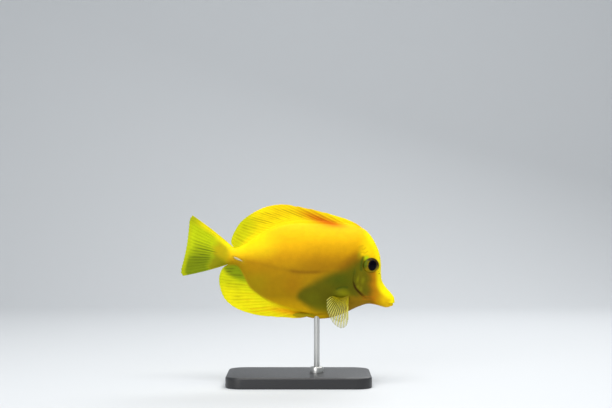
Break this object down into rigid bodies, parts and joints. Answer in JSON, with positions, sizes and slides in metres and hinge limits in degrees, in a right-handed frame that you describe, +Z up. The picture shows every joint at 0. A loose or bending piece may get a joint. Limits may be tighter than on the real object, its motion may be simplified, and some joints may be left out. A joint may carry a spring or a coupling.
{
  "type": "yellow tang",
  "caption": "Life-size yellow tang swimming nose-down on a plain display stand, with raised fin rays, gill covers, set-in eyes and tail blades.",
  "frame": {"origin": "middle of the whole model's box at the underside of the stand's base", "axes": "+X towards the snout, +Y towards the fish's left side, +Z up"},
  "size_m": [0.1552, 0.07, 0.1298],
  "materials": {
    "skin": "satin",
    "fins": "satin",
    "iris": "gloss",
    "pupil": "gloss",
    "blade": "satin",
    "stand": "satin",
    "rod": "brushed"
  },
  "bodies": {
    "root": {"head": "skin", "trunk": "skin", "tail_stem": "skin", "dorsal_fin": "fins", "anal_fin": "fins", "caudal_fin": "fins", "pectoral_fin_right": "fins", "pectoral_fin_left": "fins", "pelvic_fin_right": "fins", "pelvic_fin_left": "fins", "eye_right": "iris", "eye_left": "iris", "pupil_right": "pupil", "pupil_left": "pupil", "scalpel_right": "blade", "scalpel_left": "blade", "stand_base": "stand", "stand_collar": "rod", "stand_rod": "rod"}
  },
  "joints": []
}
